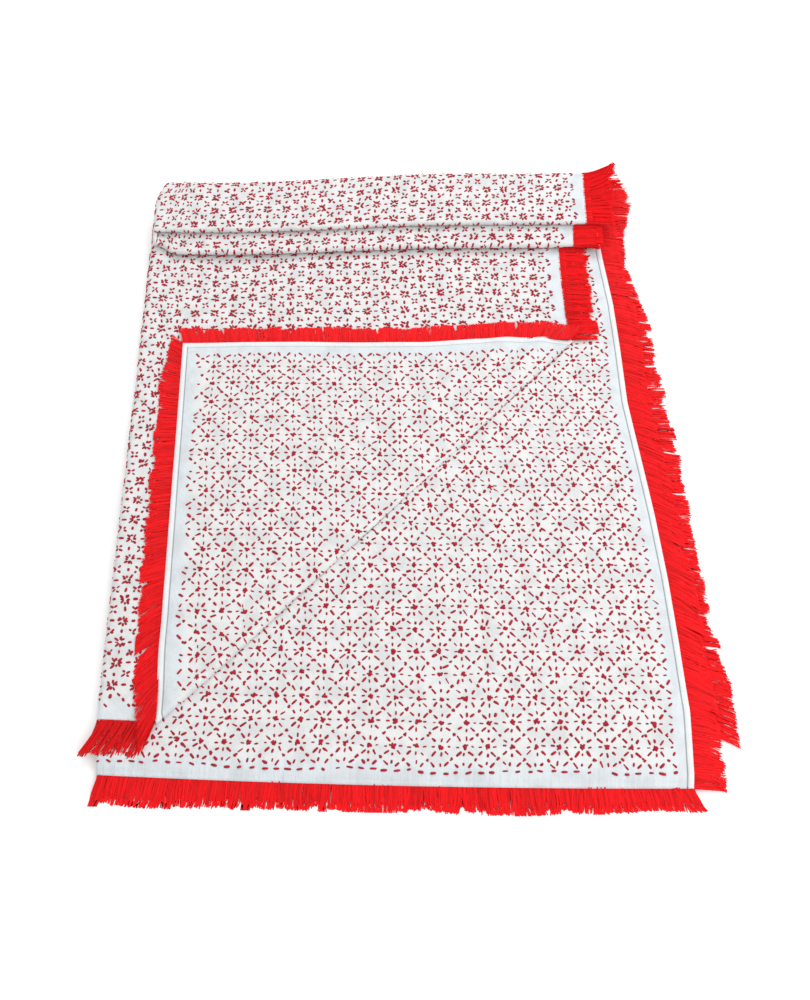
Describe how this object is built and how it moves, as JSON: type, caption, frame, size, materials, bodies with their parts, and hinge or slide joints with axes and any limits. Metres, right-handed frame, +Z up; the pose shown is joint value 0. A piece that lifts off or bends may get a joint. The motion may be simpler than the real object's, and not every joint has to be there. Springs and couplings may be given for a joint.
{
  "type": "kantha quilt",
  "caption": "White cotton kantha throw with red running stitches and red fringe trim, folded in four with its far end turned over and one corner turned back.",
  "frame": {"origin": "centre of the folded quilt's box, on the floor it lies on", "axes": "+Z up from the floor, +Y from the near edges to the rolled far end, +X to the right"},
  "size_m": [0.6982, 0.8622, 0.0349],
  "materials": {
    "cotton": "matt plain-weave white cotton with a cool tint, puckered by crimson running stitches",
    "yarn": "matt bright red twisted yarn fringe on a woven heading"
  },
  "bodies": {
    "root": {"quilt_cloth": "cotton", "fringe_a_side": "yarn", "fringe_roll_upper": "yarn", "fringe_b_side": "yarn", "fringe_flap_far": "yarn", "fringe_c_side": "yarn", "fringe_roll_lower": "yarn", "fringe_d_side": "yarn", "fringe_a_near": "yarn", "fringe_c_near": "yarn", "fringe_b_near": "yarn", "fringe_flap_side": "yarn", "fringe_d_near": "yarn"}
  },
  "joints": []
}
